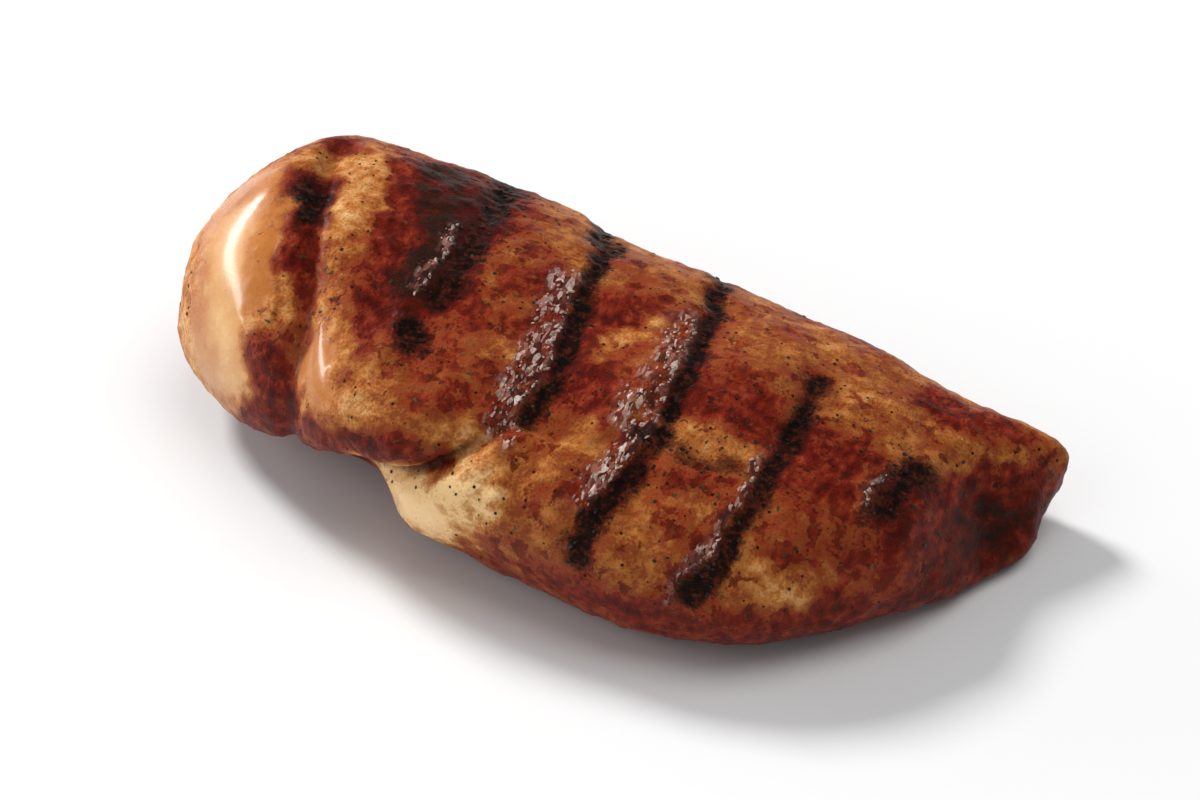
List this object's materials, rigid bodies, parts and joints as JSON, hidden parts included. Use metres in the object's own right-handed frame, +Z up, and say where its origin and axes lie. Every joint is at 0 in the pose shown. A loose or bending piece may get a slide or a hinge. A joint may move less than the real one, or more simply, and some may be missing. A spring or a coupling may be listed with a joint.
{
  "type": "smoked chicken breast",
  "caption": "Boneless chicken breast, smoked and grill-marked, with a thick lobed end, a fold over the lower muscle and a tapering tail. It lies flat on its underside as a main course.",
  "frame": {"origin": "on the surface it lies on, under the middle of its bounding box", "axes": "+X from the thick end to the tail, +Y to the back, away from the fold, +Z up"},
  "size_m": [0.1534, 0.0888, 0.0408],
  "materials": {
    "smoked_meat": "smoked and grilled chicken, golden tan to red-brown with charred bar marks, moist and lightly oiled, semi-gloss"
  },
  "bodies": {
    "root": {"chicken_breast": "smoked_meat"}
  },
  "joints": []
}
